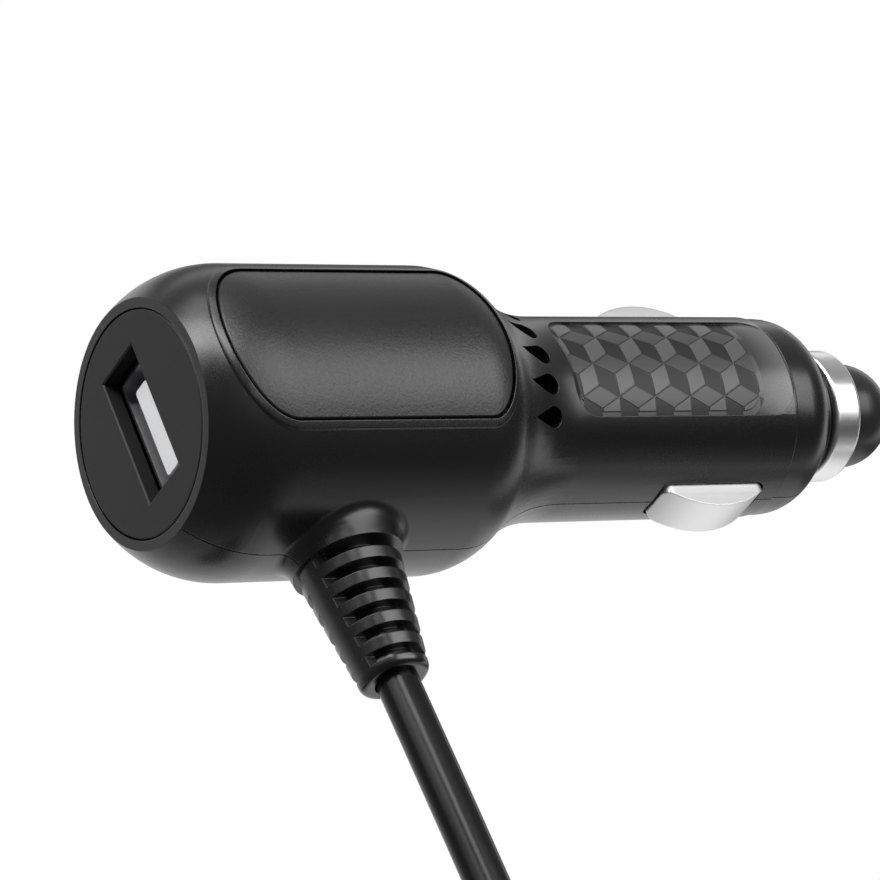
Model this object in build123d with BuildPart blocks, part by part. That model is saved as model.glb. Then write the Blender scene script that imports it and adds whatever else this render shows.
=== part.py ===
from build123d import *
import os
from math import acos, ceil, cos, pi, radians, sin, sqrt, tan

os.makedirs("parts", exist_ok=True)

# Vehicle socket charger plug with a USB port and a fixed lead, in millimetres.
# X is the plug axis, with the tip towards +X. The housing halves meet on the XY plane,
# the head inlay is on +Z and the lead leaves towards -Y.
# Stations are distances from the USB face, and the origin is at the start of the pilot.

# Housing outline
head_diameter = 30.8
barrel_diameter = 20.8
pilot_diameter = 20.44
rim_diameter = 24.2
front_round_length = 8.5
head_length = 30.87
shoulder_radius = 8.6
neck_radius = 14.6
barrel_length = 27.5
pilot_length = 2.0
nose_radius = 4.5
nose_length = 4.0
nose_land = 0.5
thread_neck_diameter = 12.4
thread_neck_length = 4.2
head_wall = 2.2
barrel_wall = 1.7
seam_width = 0.12
seam_depth = 0.35

# Face plate and its seat
plate_diameter = 22.0
plate_clearance = 0.12
plate_thickness = 1.6
plate_edge_chamfer = 0.15
ledge_width = 1.6
ledge_thickness = 1.5
port_width = 14.0
port_height = 6.4

# Head inlay, a separate panel in a recess of the upper shell
inlay_start = 2.48
inlay_length = 32.1
inlay_width = 17.9
inlay_front_bow = 5.8
inlay_rear_bow = 4.0
inlay_thickness = 1.0
inlay_groove = 0.3
inlay_edge_round = 0.25
inlay_bed = 0.05
rim_width = 0.65
rim_height = 0.2
rim_round = 0.17

# Grip recess with a tumbling block relief
grip_setback = 0.3
grip_length = 27.9
grip_width = 11.7
grip_corner = 2.6
grip_depth = 0.3
grip_rear_ramp = 0.6
grip_front_ramp = 4.4
grip_lip = 0.08
block_pitch = 4.5
block_row_pitch = 3.62
block_step = 0.06
block_root = 0.4
block_fill = 0.95
block_margin = 0.5
block_corner = 2.1
block_first = 0.91
block_side_shift = 1.71

# Vents in the neck
vent_count = 5
vent_spacing = 17.2
vent_offset = 7.0
vent_length = 4.3
vent_width = 2.2

# Cord outlet, strain relief and cord
cord_station = 17.1
cord_diameter = 4.2
cord_clearance = 0.05
boss_diameter = 11.2
boss_reach = 1.5  # out of the head's side
boss_draft = 8.0
boss_root = 1.0
boss_fillet = 1.6
outlet_diameter = 7.4
outlet_clearance = 0.1
outlet_pad_diameter = 12.4
outlet_pad_depth = 1.3
relief_flange_diameter = 10.2
relief_flange_thickness = 1.3
relief_base_diameter = 10.4
relief_end_diameter = 6.9
relief_length = 13.3
relief_end_round = 0.8
relief_slot_count = 6
relief_slot_pitch = 2.24
relief_slot_width = 1.1
relief_core_base = 7.0
relief_core_end = 5.1
relief_spine = 2.7
cord_insertion = 3.2

# USB receptacle
receptacle_width = 13.1
receptacle_height = 5.7
receptacle_wall = 0.3
receptacle_length = 14.0
receptacle_gap = 0.1
tongue_width = 9.8
tongue_thickness = 2.3
tongue_round = 0.35
tongue_drop = 0.6
tongue_setback = 0.5
tongue_base_length = 4.0
tongue_clearance = 0.05
terminal_count = 4
terminal_pitch = 2.3
terminal_width = 1.0
terminal_thickness = 0.25
terminal_setback = 0.8

# Circuit board and what it carries
board_thickness = 1.6
board_start = 5.0
board_wide_length = 28.0
board_length = 40.0
board_edge_gap = 0.3
board_tail_width = 12.0
board_post_inset = 3.0
board_post_length = 1.6
board_post_width = 8.0
inductor_diameter = 8.0
inductor_height = 6.0
inductor_flange = 1.2
inductor_waist = 6.4
input_can_diameter = 6.3
input_can_height = 7.6
output_can_diameter = 5.0
output_can_height = 6.6
can_round = 0.4
chip_length = 4.9
chip_width = 3.9
chip_height = 1.5
chip_pin_pitch = 1.27
chip_pin_width = 0.42
chip_pin_reach = 1.05
diode_length = 4.3
diode_width = 2.6
diode_height = 2.1
diode_lead_width = 1.3
diode_lead_reach = 0.6
piece_gap = 0.6
inductor_offset = 20.5

# Tip contact with its fuse and spring
bulkhead_gap = 1.0
bulkhead_thickness = 1.6
bulkhead_bore = 4.0
spring_seat_thickness = 0.8
fuse_diameter = 6.3
fuse_length = 30.0
fuse_cap_length = 6.0
fuse_glass_diameter = 5.9
sleeve_wall = 0.8
sleeve_clearance = 0.25
sleeve_rib_offset = 3.0
sleeve_rib_thickness = 1.4
sleeve_rib_clearance = 0.05
tip_reach = 4.4
pin_diameter = 5.0
pin_shoulder_offset = 0.5
pin_clearance = 0.15
pin_flange_diameter = 6.2
pin_flange_thickness = 1.1
pin_round = 1.6
tip_spring_wire = 0.7
tip_spring_diameter = 5.6
tip_spring_turns = 4
contact_gap = 0.05
spring_sides = 12
wire_sides = 6

# Insulating nose, held by the screwed ring
nose_flange_diameter = 14.4
nose_flange_thickness = 1.6
nose_clearance = 0.05
dome_diameter = 11.0
dome_start_offset = 2.2
ring_diameter = 13.8
ring_offset = 1.5
ring_length = 3.5
ring_lip = 0.7
ring_clearance = 0.05
ring_round = 0.5

# Sprung side contacts
window_offset = 2.33
window_length = 13.5
window_width = 5.2
window_corner = 1.3
contact_side_gap = 0.25
contact_end_gap = 0.3
contact_thickness = 0.45
contact_shoulder = 0.1
contact_bow = 2.1
contact_skirt = 1.9
contact_ear = 1.2
contact_ear_gap = 0.35
contact_spring_wire = 0.4
contact_spring_diameter = 3.4
contact_spring_turns = 5
spring_pad_height = 0.7
spring_pad_size = 4.6

# Coil of the spare cord, its tie and the small connector at the end
cord_bend_y = 62.0
cord_run = 22.0
bend_share = 0.45
coil_turn_diameter = 44.0
coil_pitch = 4.35
coil_clearance = 0.3
coil_drop = 10.0
tail_length = 39.0
tie_width = 7.0
tie_thickness = 1.0
plug_grip_length = 19.0
plug_grip_width = 10.6
plug_grip_depth = 7.4
plug_grip_round = 2.2
plug_neck_length = 6.0
plug_neck_wall = 1.0
plug_neck_draft = 4.0
plug_shell_width = 6.85
plug_shell_depth = 1.8
plug_shell_length = 6.0
plug_shell_wall = 0.25
plug_insert_recess = 0.6

# Derived stations and radii
head_r = head_diameter / 2
barrel_r = barrel_diameter / 2
pilot_r = pilot_diameter / 2
rim_r = rim_diameter / 2
shoulder_centre_r = head_r - shoulder_radius
neck_turn = acos(1 - (head_r - barrel_r) / (shoulder_radius + neck_radius))
neck_station = head_length + (shoulder_radius + neck_radius) * sin(neck_turn)
pilot_station = neck_station + barrel_length
nose_station = pilot_station + pilot_length
thread_station = nose_station + nose_length + nose_land
thread_end = thread_station + thread_neck_length
front_round_radius = (front_round_length**2 + (head_r - rim_r) ** 2) / (2 * (head_r - rim_r))
front_centre_r = head_r - front_round_radius
cavity_start = plate_thickness + ledge_thickness
cavity_end = nose_station
barrel_bore_r = barrel_r - barrel_wall
outlet_pad_y = head_r - head_wall - outlet_pad_depth
boss_end = head_r + boss_reach
board_width = 2 * (outlet_pad_y - relief_flange_thickness - board_edge_gap)
dome_r = dome_diameter / 2
board_top = -receptacle_height / 2
board_bottom = board_top - board_thickness
bulkhead_station = board_start + board_length + bulkhead_gap
seat_station = bulkhead_station + bulkhead_thickness
sleeve_inner_r = fuse_diameter / 2 + sleeve_clearance
sleeve_outer_r = sleeve_inner_r + sleeve_wall
nose_flange_station = cavity_end - nose_flange_thickness
ring_station = thread_station + ring_offset
ring_end = ring_station + ring_length
dome_station = ring_end + dome_start_offset
pin_hole_r = pin_diameter / 2 + pin_clearance
dome_end = dome_station + sqrt(dome_r**2 - pin_hole_r**2)
tip_station = dome_end + tip_reach
pin_shoulder = dome_station + pin_shoulder_offset
fuse_end = pin_shoulder - contact_gap - pin_flange_thickness
fuse_start = fuse_end - fuse_length
window_end = pilot_station - window_offset
window_start = window_end - window_length
window_middle = (window_start + window_end) / 2
far = 2 * head_diameter


def at(station):
    return station - pilot_station


def arc_x(radius, centre_r, r):
    return sqrt(radius**2 - (r - centre_r) ** 2)


# Body of revolution that follows the housing outline at a given inset
def turned_body(inset):
    front_r = front_centre_r + sqrt((front_round_radius - inset) ** 2 - front_round_length**2)
    bend_r = shoulder_radius - inset
    nose_inset = min(inset, seam_depth)
    nose_r = pilot_r - nose_radius + sqrt((nose_radius - nose_inset) ** 2 - nose_length**2)
    step = barrel_r - pilot_r
    head_front = (at(front_round_length), head_r - inset)
    head_back = (at(head_length), head_r - inset)
    bend = (at(head_length) + bend_r * sin(neck_turn), shoulder_centre_r + bend_r * cos(neck_turn))
    neck = (at(neck_station), barrel_r - inset)
    pilot_back = (0, pilot_r - nose_inset)
    pilot_front = (at(nose_station), pilot_r - nose_inset)
    nose_tip = (at(nose_station + nose_length), nose_r)
    with BuildPart() as body:
        with BuildSketch(Plane.XY):
            with BuildLine():
                Polyline((at(thread_station), nose_r), (at(thread_station), 0), (at(0), 0), (at(0), front_r))
                TangentArc(head_front, (at(0), front_r), tangent=(-1, 0))
                Line(head_front, head_back)
                TangentArc(head_back, bend, tangent=(1, 0))
                TangentArc(bend, neck, tangent=(cos(neck_turn), -sin(neck_turn)))
                Polyline(neck, (-step, barrel_r - inset), pilot_back, pilot_front)
                TangentArc(pilot_front, nose_tip, tangent=(1, 0))
                Line(nose_tip, (at(thread_station), nose_r))
            make_face()
        revolve(axis=Axis.X)
    return body.part


# Outline of the inlay seen from above, grown by a margin, as an upright prism with bowed ends
def inlay_prism(margin):
    half = inlay_width / 2 + margin
    front = inlay_start + inlay_front_bow
    rear = inlay_start + inlay_length - inlay_rear_bow
    with BuildPart() as prism:
        with BuildSketch(Plane.XY):
            with Locations((at(front), 0)):
                Ellipse(inlay_front_bow + margin, half)
            with Locations((at(rear), 0)):
                Ellipse(inlay_rear_bow + margin, half)
            with Locations((at((front + rear) / 2), 0)):
                Rectangle(rear - front, 2 * half)
        extrude(amount=head_diameter)
    return prism.part


outer_body = turned_body(0)
rim_body = turned_body(-rim_height)
inlay_floor = turned_body(inlay_thickness + inlay_bed)
seam_core = turned_body(seam_depth)

# Hollow of the housing, less the posts and walls that stand in it
with BuildPart() as cavity:
    with BuildSketch(Plane.XY):
        hollow_head = head_r - head_wall
        start_r = front_centre_r + arc_x(front_round_radius - head_wall, front_round_length, cavity_start)
        neck_x = at(head_length) + arc_x(shoulder_radius - head_wall, shoulder_centre_r, barrel_bore_r)
        with BuildLine():
            Polyline((at(cavity_start), start_r), (at(cavity_start), 0), (at(cavity_end), 0))
            Polyline((at(cavity_end), 0), (at(cavity_end), barrel_bore_r), (neck_x, barrel_bore_r))
            TangentArc((at(head_length), hollow_head), (neck_x, barrel_bore_r), tangent=(1, 0))
            Line((at(head_length), hollow_head), (at(front_round_length), hollow_head))
            TangentArc((at(front_round_length), hollow_head), (at(cavity_start), start_r), tangent=(-1, 0))
        make_face()
    revolve(axis=Axis.X)
    # Posts under the board
    post_ends = (0, board_wide_length - 2 * board_post_inset, board_length - 2 * board_post_inset)
    with BuildSketch(Plane.XY.offset(board_bottom)):
        with Locations([(at(board_start + board_post_inset + end), 0) for end in post_ends]):
            Rectangle(board_post_length, board_post_width)
    extrude(amount=-head_diameter, mode=Mode.SUBTRACT)
    # Wall behind the spring seat, with a hole for the lead of the board
    with BuildSketch(Plane.YZ.offset(at(bulkhead_station))):
        Circle(head_r)
        Circle(bulkhead_bore / 2, mode=Mode.SUBTRACT)
    extrude(amount=bulkhead_thickness, mode=Mode.SUBTRACT)
    # Rib that carries the fuse sleeve
    with BuildSketch(Plane.YZ.offset(at(seat_station + sleeve_rib_offset))):
        Circle(head_r)
        Circle(sleeve_outer_r + sleeve_rib_clearance, mode=Mode.SUBTRACT)
    extrude(amount=sleeve_rib_thickness, mode=Mode.SUBTRACT)
    # Flat pad inside the cord outlet
    with BuildSketch(Plane.XZ.offset(outlet_pad_y)):
        with Locations((at(cord_station), 0)):
            Circle(outlet_pad_diameter / 2)
    extrude(amount=head_r, mode=Mode.SUBTRACT)

# Thin slot all round the parting line
with BuildPart() as seam_slot:
    Box(4 * far, far, seam_width)
    add(seam_core, mode=Mode.SUBTRACT)
    with BuildSketch(Plane.XZ):
        with Locations((at(cord_station), 0)):
            Circle(boss_diameter / 2 - seam_depth)
    extrude(amount=far, mode=Mode.SUBTRACT)


# Floor of the grip recess, with a ramp at each end
grip_end = pilot_station - grip_setback
grip_start = grip_end - grip_length
floor_r = barrel_r - grip_depth
with BuildPart() as grip_floor:
    with BuildSketch(Plane.XY):
        with BuildLine():
            Polyline(
                (at(grip_start - grip_rear_ramp), 0),
                (at(grip_start - grip_rear_ramp), barrel_r + grip_depth),
                (at(grip_start + grip_rear_ramp), floor_r),
                (at(grip_end - grip_front_ramp), floor_r),
                (at(grip_end), barrel_r - grip_lip),
                (at(grip_end), 0),
                close=True,
            )
        make_face()
    revolve(axis=Axis.X)

with BuildPart() as grip_recess:
    with BuildSketch(Plane.XY):
        with Locations((at(grip_start + grip_length / 2), 0)):
            RectangleRounded(grip_length, grip_width, grip_corner)
    extrude(amount=barrel_diameter)
    add(grip_floor.part, mode=Mode.SUBTRACT)

# Tumbling blocks: each lattice point with a block has three rhombs round it, one level with the floor
# and two raised by one and two steps
block_length = grip_length - grip_front_ramp - block_margin
block_columns = range(-1, ceil(2 * block_length / block_pitch) + 2)
block_reach = 3 * ceil(grip_width / block_row_pitch)
block_rows = range(-block_reach, block_reach, 3)
block_points = [(column, row) for row in block_rows for column in block_columns if (column + row) % 2 == 0]


# Place of a lattice point as seen from above, drawn towards the middle of its rhomb
def block_plan(column, row, corner):
    column += block_fill * corner[0]
    row += block_fill * corner[1]
    turn = (block_side_shift + row * block_row_pitch / 3) / floor_r
    return (at(grip_start + block_first + column * block_pitch / 2), -floor_r * sin(turn))


# Rhombs of one direction, given by their middle and corners in lattice steps, raised to one level
def block_pads(middle, corners, level):
    with BuildPart() as pads:
        with BuildSketch(Plane.XY):
            for column, row in block_points:
                Polygon(
                    *[block_plan(column + middle[0], row + middle[1], corner) for corner in corners], align=None
                )
            with Locations((at(grip_start + block_margin + block_length / 2), 0)):
                RectangleRounded(
                    block_length, grip_width - 2 * block_margin, block_corner, mode=Mode.INTERSECT
                )
        extrude(amount=barrel_diameter)
        with BuildSketch(Plane.YZ.offset(at(grip_start))):
            Circle(floor_r + level * block_step)
            Circle(floor_r - block_root, mode=Mode.SUBTRACT)
        extrude(amount=grip_length, mode=Mode.INTERSECT)
    return pads.part


top_pads = block_pads((0, -1), [(0, 1), (1, 0), (0, -1), (-1, 0)], 1)
side_pads = block_pads((0.5, 0.5), [(-0.5, -0.5), (-0.5, 1.5), (0.5, 0.5), (0.5, -1.5)], 2)

# Raised rim round the inlay, with an eased outer edge
with BuildPart() as inlay_rim:
    add(rim_body)
    add(inlay_prism(rim_width), mode=Mode.INTERSECT)
    fillet(faces().sort_by(Axis.Z)[-1].edges().filter_by(Axis.X), rim_round)
    add(inlay_floor, mode=Mode.SUBTRACT)

inlay_recess = inlay_prism(0) - inlay_floor
inlay_panel = (outer_body & inlay_prism(-inlay_groove)) - turned_body(inlay_thickness)

# Housing with both halves in one, before it is parted
with BuildPart() as housing:
    add(outer_body)
    # Boss of the cord outlet
    with BuildSketch(Plane.XZ.offset(boss_end)):
        with Locations((at(cord_station), 0)):
            Circle(boss_diameter / 2)
    extrude(amount=head_wall + boss_reach + boss_root, dir=(0, 1, 0), taper=-boss_draft)
    fillet(edges(Select.LAST).sort_by(Axis.Y)[-1], boss_fillet)
    add(inlay_rim.part)
    # Screwed neck for the ring
    with BuildSketch(Plane.YZ.offset(at(thread_station))):
        Circle(thread_neck_diameter / 2)
    extrude(amount=thread_neck_length)
    # Recesses for the inlay and the grip
    add(inlay_recess, mode=Mode.SUBTRACT)
    add(grip_recess.part, mode=Mode.SUBTRACT)
    add(top_pads)
    add(side_pads)
    # Inside
    add(cavity.part, mode=Mode.SUBTRACT)
    with BuildSketch(Plane.YZ.offset(at(0))):
        Circle(plate_diameter / 2 + plate_clearance)
    extrude(amount=plate_thickness, mode=Mode.SUBTRACT)
    with BuildSketch(Plane.YZ.offset(at(plate_thickness))):
        Circle(plate_diameter / 2 - ledge_width)
    extrude(amount=ledge_thickness, mode=Mode.SUBTRACT)
    with BuildSketch(Plane.YZ.offset(at(cavity_end))):
        Circle(dome_r + nose_clearance)
    extrude(amount=thread_end - cavity_end, mode=Mode.SUBTRACT)
    # Cord outlet
    with BuildSketch(Plane.XZ):
        with Locations((at(cord_station), 0)):
            Circle(outlet_diameter / 2)
    extrude(amount=far, mode=Mode.SUBTRACT)
    # Windows of the side contacts, through both walls on the parting line
    with BuildSketch(Plane.XZ):
        with Locations((at(window_middle), 0)):
            RectangleRounded(window_length, window_width, window_corner)
    extrude(amount=far, both=True, mode=Mode.SUBTRACT)
    add(seam_slot.part, mode=Mode.SUBTRACT)
    # Drop shaped vents, pointed towards the head
    for i in range(vent_count):
        turn = (i - (vent_count - 1) / 2) * vent_spacing
        vent_r = vent_width / 2
        vent_plane = Plane(origin=(at(head_length + vent_offset), 0, 0), x_dir=(1, 0, 0), z_dir=(0, 0, 1))
        vent_plane = vent_plane.rotated((turn, 0, 0)).offset(barrel_bore_r - barrel_wall)
        reach = vent_length - vent_r
        touch = vent_r**2 / reach
        half = vent_r * sqrt(1 - (vent_r / reach) ** 2)
        with BuildSketch(vent_plane):
            with BuildLine():
                Polyline((reach - touch, half), (0, 0), (reach - touch, -half))
                ThreePointArc((reach - touch, half), (vent_length, 0), (reach - touch, -half))
            make_face()
        extrude(amount=head_r, mode=Mode.SUBTRACT)

with BuildPart() as upper_shell:
    add(housing.part)
    split(bisect_by=Plane.XY, keep=Keep.TOP)

with BuildPart() as lower_shell:
    add(housing.part)
    split(bisect_by=Plane.XY, keep=Keep.BOTTOM)


# Round plate in the front of the housing, with the USB opening
with BuildPart() as face_plate:
    with BuildSketch(Plane.YZ.offset(at(0))):
        Circle(plate_diameter / 2)
        Rectangle(port_width, port_height, mode=Mode.SUBTRACT)
    extrude(amount=plate_thickness)
    front_edges = faces().sort_by(Axis.X)[0].edges()
    chamfer(front_edges, plate_edge_chamfer)

# Inlay panel: the skin of the head within the recess, with an eased edge
with BuildPart() as head_inlay:
    add(inlay_panel)
    top_face = faces().sort_by(Axis.Z)[-1]
    fillet(top_face.edges().filter_by(Axis.X), inlay_edge_round)

# Receptacle shell, a folded metal box open to the front
receptacle_start = plate_thickness + receptacle_gap
with BuildPart() as usb_shell:
    with BuildSketch(Plane.YZ.offset(at(receptacle_start))):
        Rectangle(receptacle_width, receptacle_height)
        offset_width = receptacle_width - 2 * receptacle_wall
        offset_height = receptacle_height - 2 * receptacle_wall
        Rectangle(offset_width, offset_height, mode=Mode.SUBTRACT)
    extrude(amount=receptacle_length)

# Insulator: a block at the back of the receptacle with the tongue in front
tongue_base_start = receptacle_start + receptacle_length - tongue_base_length
tongue_start = receptacle_start + tongue_setback
tongue_top = tongue_thickness / 2 - tongue_drop
with BuildPart() as usb_tongue:
    with BuildSketch(Plane.YZ.offset(at(tongue_base_start))):
        Rectangle(offset_width - 2 * tongue_clearance, offset_height - 2 * tongue_clearance)
    extrude(amount=tongue_base_length)
    with BuildSketch(Plane.YZ.offset(at(tongue_start))):
        with Locations((0, -tongue_drop)):
            RectangleRounded(tongue_width, tongue_thickness, tongue_round)
    extrude(amount=tongue_base_start - tongue_start)
    # Grooves that hold the terminals
    with BuildSketch(Plane.YZ.offset(at(tongue_start + terminal_setback))):
        with Locations((0, tongue_top - terminal_thickness / 2)):
            with GridLocations(terminal_pitch, 1, terminal_count, 1):
                Rectangle(terminal_width + 2 * tongue_clearance, terminal_thickness)
    extrude(amount=tongue_base_start - tongue_start - terminal_setback, mode=Mode.SUBTRACT)

with BuildPart() as usb_contacts:
    with BuildSketch(Plane.YZ.offset(at(tongue_start + terminal_setback))):
        with Locations((0, tongue_top)):
            with GridLocations(terminal_pitch, 1, terminal_count, 1):
                Rectangle(terminal_width, 2 * terminal_thickness)
    extrude(amount=tongue_base_start - tongue_start - terminal_setback)

# Board on its posts, wide in the head and narrow in the barrel
with BuildPart() as circuit_board:
    with BuildSketch(Plane.XY.offset(board_bottom)):
        with Locations((at(board_start), 0)):
            Rectangle(board_wide_length, board_width, align=(Align.MIN, Align.CENTER))
            Rectangle(board_length, board_tail_width, align=(Align.MIN, Align.CENTER))
    extrude(amount=board_thickness)

inductor_station = board_start + inductor_offset
with BuildPart() as power_inductor:
    with BuildSketch(Plane.XY.offset(board_top)):
        with Locations((at(inductor_station), board_width / 4)):
            Circle(inductor_diameter / 2)
    extrude(amount=inductor_height)
    with BuildSketch(Plane.XY.offset(board_top + inductor_flange)):
        with Locations((at(inductor_station), board_width / 4)):
            Circle(inductor_diameter / 2)
            Circle(inductor_waist / 2, mode=Mode.SUBTRACT)
    extrude(amount=inductor_height - 2 * inductor_flange, mode=Mode.SUBTRACT)

with BuildPart() as output_capacitor:
    with BuildSketch(Plane.XY.offset(board_top)):
        with Locations((at(inductor_station), -board_width / 4)):
            Circle(output_can_diameter / 2)
    extrude(amount=output_can_height)
    fillet(faces().sort_by(Axis.Z)[-1].edges(), can_round)

input_can_station = receptacle_start + receptacle_length + piece_gap + input_can_diameter / 2
with BuildPart() as input_capacitor:
    with BuildSketch(Plane.XY.offset(board_top)):
        with Locations((at(input_can_station), 0)):
            Circle(input_can_diameter / 2)
    extrude(amount=input_can_height)
    fillet(faces().sort_by(Axis.Z)[-1].edges(), can_round)

# Regulator with two rows of bent pins
diode_station = board_start + board_length - diode_width
chip_station = diode_station - diode_width / 2 - piece_gap - chip_length / 2
with BuildPart() as regulator_chip:
    with BuildSketch(Plane.XY.offset(board_top)):
        with Locations((at(chip_station), 0)):
            Rectangle(chip_length, chip_width)
            with GridLocations(chip_pin_pitch, 1, 4, 1):
                Rectangle(chip_pin_width, chip_width + 2 * chip_pin_reach)
    extrude(amount=chip_height / 2)
    with BuildSketch(Plane.XY.offset(board_top)):
        with Locations((at(chip_station), 0)):
            Rectangle(chip_length, chip_width)
    extrude(amount=chip_height)

with BuildPart() as rectifier_diode:
    with BuildSketch(Plane.XY.offset(board_top)):
        with Locations((at(diode_station), 0)):
            Rectangle(diode_width, diode_length)
    extrude(amount=diode_height)
    with BuildSketch(Plane.XY.offset(board_top)):
        with Locations((at(diode_station), 0)):
            Rectangle(diode_lead_width, diode_length + 2 * diode_lead_reach)
    extrude(amount=diode_height / 2)

# Tip contact line: seat, spring, fuse with end caps, pin
with BuildPart() as spring_seat:
    with BuildSketch(Plane.YZ.offset(at(seat_station))):
        Circle(sleeve_inner_r - contact_gap)
    extrude(amount=spring_seat_thickness)
    with BuildSketch(Plane.YZ.offset(at(bulkhead_station - bulkhead_gap / 2))):
        Circle(bulkhead_bore / 4)
    extrude(amount=seat_station - bulkhead_station + bulkhead_gap / 2)

tip_spring_start = seat_station + spring_seat_thickness + tip_spring_wire / 2
tip_spring_run = fuse_start - tip_spring_start - tip_spring_wire / 2


# Corners of a coiled wire, in spring_sides straight steps to each turn
def spring_points(turns, diameter, run):
    steps = turns * spring_sides
    angles = [2 * pi * i / spring_sides for i in range(steps + 1)]
    return [
        (diameter / 2 * cos(angle), diameter / 2 * sin(angle), run * i / steps) for i, angle in enumerate(angles)
    ]


tip_spring_plane = Plane(origin=(at(tip_spring_start), 0, 0), z_dir=(1, 0, 0))
with BuildPart() as tip_spring:
    with BuildLine(tip_spring_plane) as tip_wire:
        Polyline(*spring_points(tip_spring_turns, tip_spring_diameter - tip_spring_wire, tip_spring_run))
    with BuildSketch(Plane(tip_wire.line @ 0, z_dir=tip_wire.line % 0)):
        RegularPolygon(tip_spring_wire / 2, wire_sides)
    sweep(transition=Transition.RIGHT)

with BuildPart() as fuse_tube:
    with BuildSketch(Plane.YZ.offset(at(fuse_start + fuse_cap_length))):
        Circle(fuse_glass_diameter / 2)
    extrude(amount=fuse_length - 2 * fuse_cap_length)

with BuildPart() as fuse_caps:
    with BuildSketch(Plane.YZ.offset(at(fuse_start))):
        Circle(fuse_diameter / 2)
    extrude(amount=fuse_cap_length)
    with BuildSketch(Plane.YZ.offset(at(fuse_end))):
        Circle(fuse_diameter / 2)
    extrude(amount=-fuse_cap_length)

with BuildPart() as tip_pin:
    with BuildSketch(Plane.YZ.offset(at(fuse_end))):
        Circle(pin_flange_diameter / 2)
    extrude(amount=pin_flange_thickness)
    with BuildSketch(Plane.YZ.offset(at(fuse_end))):
        Circle(pin_diameter / 2)
    extrude(amount=tip_station - fuse_end)
    fillet(faces().sort_by(Axis.X)[-1].edges(), pin_round)

# Insulating sleeve round the fuse, with a flat pad and stud for each contact spring
pad_y = sleeve_outer_r + spring_pad_height
with BuildPart() as fuse_sleeve:
    with BuildSketch(Plane.YZ.offset(at(seat_station))):
        Circle(sleeve_outer_r)
    extrude(amount=nose_flange_station - seat_station)
    with BuildSketch(Plane.XZ):
        with Locations((at(window_middle), 0)):
            Rectangle(spring_pad_size, spring_pad_size)
    extrude(amount=pad_y, both=True)
    with BuildSketch(Plane.XZ):
        with Locations((at(window_middle), 0)):
            Circle(contact_spring_diameter / 2 - contact_spring_wire - contact_gap)
    extrude(amount=pad_y + 2 * contact_spring_wire, both=True)
    with BuildSketch(Plane.YZ.offset(at(seat_station))):
        Circle(sleeve_inner_r)
    extrude(amount=nose_flange_station - seat_station, mode=Mode.SUBTRACT)

# Nose: flange behind the front wall, body through the neck, domed front with the pin hole
with BuildPart() as nose_bush:
    with BuildSketch(Plane.XY):
        with BuildLine():
            flange_r = nose_flange_diameter / 2
            Polyline(
                (at(dome_end), pin_hole_r),
                (at(pin_shoulder), pin_hole_r),
                (at(pin_shoulder), sleeve_inner_r),
                (at(nose_flange_station), sleeve_inner_r),
                (at(nose_flange_station), flange_r),
                (at(cavity_end), flange_r),
                (at(cavity_end), dome_r),
                (at(dome_station), dome_r),
            )
            TangentArc((at(dome_station), dome_r), (at(dome_end), pin_hole_r), tangent=(1, 0))
        make_face()
    revolve(axis=Axis.X)

with BuildPart() as retaining_ring:
    with BuildSketch(Plane.YZ.offset(at(ring_station))):
        Circle(ring_diameter / 2)
        Circle(thread_neck_diameter / 2 + ring_clearance, mode=Mode.SUBTRACT)
    extrude(amount=ring_length)
    with BuildSketch(Plane.YZ.offset(at(ring_end))):
        Circle(ring_diameter / 2)
        Circle(dome_r + ring_clearance, mode=Mode.SUBTRACT)
    extrude(amount=-ring_lip)
    ring_edges = edges().filter_by(GeomType.CIRCLE).group_by(SortBy.RADIUS)[-1]
    fillet(ring_edges, ring_round)


# Sprung contact on the cord side: bowed web, turned-down sides and an ear at each end behind the wall
contact_half = window_length / 2 - contact_end_gap
contact_width = window_width - 2 * contact_side_gap
ear_top = sqrt(barrel_bore_r**2 - (contact_width / 2) ** 2) - contact_ear_gap
ear_bottom = ear_top - contact_thickness
end_top = barrel_r + contact_shoulder
middle_top = end_top + contact_bow
contact_inner = contact_half - contact_thickness
web_end = end_top - contact_thickness
contact_plane = Plane(origin=(at(window_middle), 0, 0))
with BuildPart() as side_contact_right:
    with BuildSketch(contact_plane):
        with BuildLine():
            ThreePointArc((-contact_half, -end_top), (0, -middle_top), (contact_half, -end_top))
            Polyline((contact_half, -end_top), (contact_half, -ear_bottom), (-contact_half, -ear_bottom))
            Line((-contact_half, -ear_bottom), (-contact_half, -end_top))
        make_face()
    extrude(amount=contact_width / 2, both=True)
    with BuildSketch(contact_plane):
        with BuildLine():
            web_middle = middle_top - contact_thickness
            ThreePointArc((-contact_inner, -web_end), (0, -web_middle), (contact_inner, -web_end))
            Polyline((contact_inner, -web_end), (contact_inner, 0), (-contact_inner, 0))
            Line((-contact_inner, 0), (-contact_inner, -web_end))
        make_face()
    extrude(amount=contact_width / 2 - contact_thickness, both=True, mode=Mode.SUBTRACT)
    with BuildSketch(Plane.XZ.offset(web_end - contact_skirt)):
        with Locations((at(window_middle), 0)):
            Rectangle(2 * contact_inner, far)
    extrude(amount=-far, mode=Mode.SUBTRACT)
    with BuildSketch(Plane.XZ):
        with Locations((at(window_middle), 0)):
            RectangleRounded(2 * contact_half, contact_width, window_corner - contact_side_gap)
    extrude(amount=far, mode=Mode.INTERSECT)
    with BuildSketch(Plane.XZ.offset(ear_bottom)):
        with Locations((at(window_middle), 0)):
            Rectangle(2 * (contact_half + contact_ear), contact_width)
            Rectangle(2 * contact_inner, contact_width, mode=Mode.SUBTRACT)
    extrude(amount=contact_thickness)

with BuildPart() as side_contact_left:
    add(side_contact_right.part, rotation=(180, 0, 0))

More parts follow.
